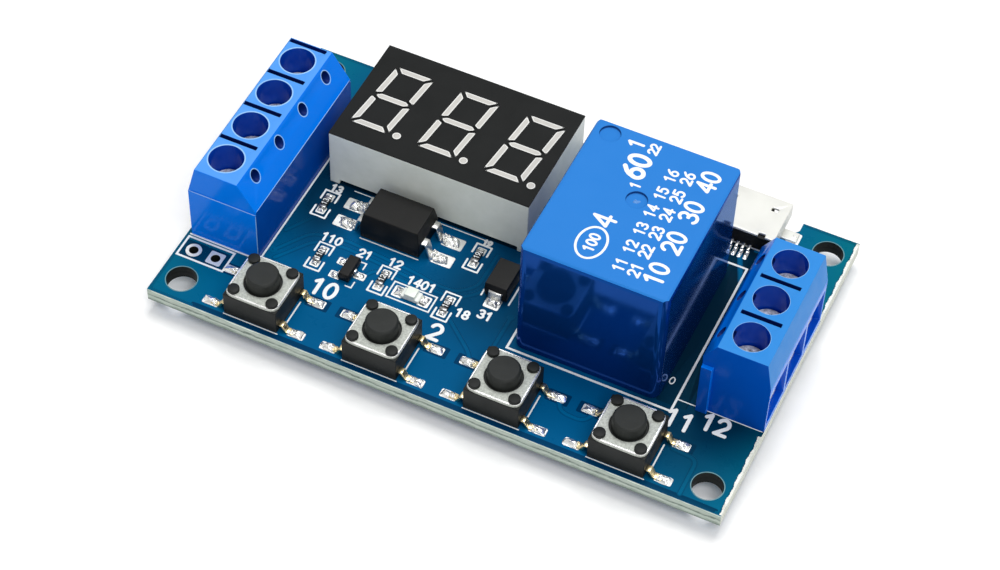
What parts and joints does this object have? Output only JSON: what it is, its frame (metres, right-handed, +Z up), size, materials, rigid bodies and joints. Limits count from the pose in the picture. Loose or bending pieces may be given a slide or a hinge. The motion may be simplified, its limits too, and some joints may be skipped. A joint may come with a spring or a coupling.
{
  "type": "timer relay module",
  "caption": "Circuit board module with a relay, a segment display, push buttons, screw terminals and a power socket, for timed switching of a load.",
  "frame": {"origin": "centre of the four mounting holes, on the underside of the board", "axes": "+X along the long edge to the relay outputs, +Y to the socket, +Z up from the board"},
  "size_m": [0.063, 0.038, 0.0185],
  "materials": {
    "board": "glossy solder mask over glass fibre",
    "solder": "bright solder",
    "relay_blue": "smooth moulded plastic",
    "terminal_blue": "smooth moulded plastic",
    "black_plastic": "fine moulded texture",
    "light_plastic": "smooth moulded plastic",
    "display_face": "printed film",
    "segment": "cast diffusing resin",
    "plated_metal": "tin plate",
    "iron": "plated iron",
    "copper": "enamelled wire",
    "gold_plate": "thin gold plate",
    "ceramic": "fired ceramic with plated ends",
    "lens": "cast resin"
  },
  "bodies": {
    "module": {"circuit_board": "board", "solder_joints": "solder", "relay_cover": "relay_blue", "relay_base": "relay_blue", "relay_yoke": "iron", "relay_core": "iron", "relay_bobbin": "light_plastic", "relay_coil": "copper", "relay_coil_pins": "plated_metal", "relay_break_contact": "plated_metal", "relay_make_contact": "plated_metal", "display_case": "light_plastic", "display_face": "display_face", "display_segments": "segment", "display_board": "board", "display_pins": "plated_metal", "input_housing": "terminal_blue", "input_contacts": "plated_metal", "output_housing": "terminal_blue", "output_contacts": "plated_metal", "switch_domes": "plated_metal", "switch_legs": "gold_plate", "optocoupler": "black_plastic", "transistor": "black_plastic", "diode": "black_plastic", "chip_resistors": "ceramic", "indicator": "lens", "controller": "black_plastic", "regulator": "black_plastic", "chip_capacitors": "ceramic", "socket_shell": "plated_metal", "socket_insert": "black_plastic", "switch_base_1": "black_plastic", "switch_cover_1": "plated_metal", "switch_base_2": "black_plastic", "switch_cover_2": "plated_metal", "switch_base_3": "black_plastic", "switch_cover_3": "plated_metal", "switch_base_4": "black_plastic", "switch_cover_4": "plated_metal"},
    "armature": {"relay_armature": "iron", "relay_contact_blade": "copper"},
    "button_1": {"switch_button_1": "black_plastic"},
    "button_2": {"switch_button_2": "black_plastic"},
    "button_3": {"switch_button_3": "black_plastic"},
    "button_4": {"switch_button_4": "black_plastic"},
    "input_clamp_1": {"input_clamp_1": "plated_metal"},
    "input_screw_1": {"input_screw_1": "plated_metal"},
    "input_clamp_2": {"input_clamp_2": "plated_metal"},
    "input_screw_2": {"input_screw_2": "plated_metal"},
    "input_clamp_3": {"input_clamp_3": "plated_metal"},
    "input_screw_3": {"input_screw_3": "plated_metal"},
    "input_clamp_4": {"input_clamp_4": "plated_metal"},
    "input_screw_4": {"input_screw_4": "plated_metal"},
    "output_clamp_1": {"output_clamp_1": "plated_metal"},
    "output_screw_1": {"output_screw_1": "plated_metal"},
    "output_clamp_2": {"output_clamp_2": "plated_metal"},
    "output_screw_2": {"output_screw_2": "plated_metal"},
    "output_clamp_3": {"output_clamp_3": "plated_metal"},
    "output_screw_3": {"output_screw_3": "plated_metal"}
  },
  "joints": [
    {"name": "relay_armature_swing", "type": "hinge", "parent": "module", "child": "armature", "pos_m": [0.0127, -0.00715, 0.0127], "axis": [-1, 0, 0], "range_deg": [0, 2.4], "stiffness_Nm_per_rad": 0.002, "springref_deg": -11.46},
    {"name": "button_1_press", "type": "slide", "parent": "module", "child": "button_1", "axis": [0, 0, -1], "range_m": [0, 0.00025], "stiffness_N_per_m": 2000, "springref_m": -0.0004},
    {"name": "button_2_press", "type": "slide", "parent": "module", "child": "button_2", "axis": [0, 0, -1], "range_m": [0, 0.00025], "stiffness_N_per_m": 2000, "springref_m": -0.0004},
    {"name": "button_3_press", "type": "slide", "parent": "module", "child": "button_3", "axis": [0, 0, -1], "range_m": [0, 0.00025], "stiffness_N_per_m": 2000, "springref_m": -0.0004},
    {"name": "button_4_press", "type": "slide", "parent": "module", "child": "button_4", "axis": [0, 0, -1], "range_m": [0, 0.00025], "stiffness_N_per_m": 2000, "springref_m": -0.0004},
    {"name": "input_clamp_1_lift", "type": "slide", "parent": "module", "child": "input_clamp_1", "axis": [0, 0, 1], "range_m": [0, 0.002]},
    {"name": "input_screw_1_turn", "type": "hinge", "parent": "input_clamp_1", "child": "input_screw_1", "pos_m": [-0.02795, 0.00752, 0.005], "axis": [0, 0, 1], "range_deg": [0, 1441]},
    {"name": "input_clamp_2_lift", "type": "slide", "parent": "module", "child": "input_clamp_2", "axis": [0, 0, 1], "range_m": [0, 0.002]},
    {"name": "input_screw_2_turn", "type": "hinge", "parent": "input_clamp_2", "child": "input_screw_2", "pos_m": [-0.02795, 0.00244, 0.005], "axis": [0, 0, 1], "range_deg": [0, 1441]},
    {"name": "input_clamp_3_lift", "type": "slide", "parent": "module", "child": "input_clamp_3", "axis": [0, 0, 1], "range_m": [0, 0.002]},
    {"name": "input_screw_3_turn", "type": "hinge", "parent": "input_clamp_3", "child": "input_screw_3", "pos_m": [-0.02795, -0.00264, 0.005], "axis": [0, 0, 1], "range_deg": [0, 1441]},
    {"name": "input_clamp_4_lift", "type": "slide", "parent": "module", "child": "input_clamp_4", "axis": [0, 0, 1], "range_m": [0, 0.002]},
    {"name": "input_screw_4_turn", "type": "hinge", "parent": "input_clamp_4", "child": "input_screw_4", "pos_m": [-0.02795, -0.00772, 0.005], "axis": [0, 0, 1], "range_deg": [0, 1441]},
    {"name": "output_clamp_1_lift", "type": "slide", "parent": "module", "child": "output_clamp_1", "axis": [0, 0, 1], "range_m": [0, 0.002]},
    {"name": "output_screw_1_turn", "type": "hinge", "parent": "output_clamp_1", "child": "output_screw_1", "pos_m": [0.0281, -0.00533, 0.005], "axis": [0, 0, 1], "range_deg": [0, 1441]},
    {"name": "output_clamp_2_lift", "type": "slide", "parent": "module", "child": "output_clamp_2", "axis": [0, 0, 1], "range_m": [0, 0.002]},
    {"name": "output_screw_2_turn", "type": "hinge", "parent": "output_clamp_2", "child": "output_screw_2", "pos_m": [0.0281, -0.00025, 0.005], "axis": [0, 0, 1], "range_deg": [0, 1441]},
    {"name": "output_clamp_3_lift", "type": "slide", "parent": "module", "child": "output_clamp_3", "axis": [0, 0, 1], "range_m": [0, 0.002]},
    {"name": "output_screw_3_turn", "type": "hinge", "parent": "output_clamp_3", "child": "output_screw_3", "pos_m": [0.0281, 0.00483, 0.005], "axis": [0, 0, 1], "range_deg": [0, 1441]}
  ],
  "couplings": [
    {"joint": "input_screw_1_turn", "follows": "input_clamp_1_lift", "rad_per_m": 12566},
    {"joint": "input_screw_2_turn", "follows": "input_clamp_2_lift", "rad_per_m": 12566},
    {"joint": "input_screw_3_turn", "follows": "input_clamp_3_lift", "rad_per_m": 12566},
    {"joint": "input_screw_4_turn", "follows": "input_clamp_4_lift", "rad_per_m": 12566},
    {"joint": "output_screw_1_turn", "follows": "output_clamp_1_lift", "rad_per_m": 12566},
    {"joint": "output_screw_2_turn", "follows": "output_clamp_2_lift", "rad_per_m": 12566},
    {"joint": "output_screw_3_turn", "follows": "output_clamp_3_lift", "rad_per_m": 12566}
  ]
}
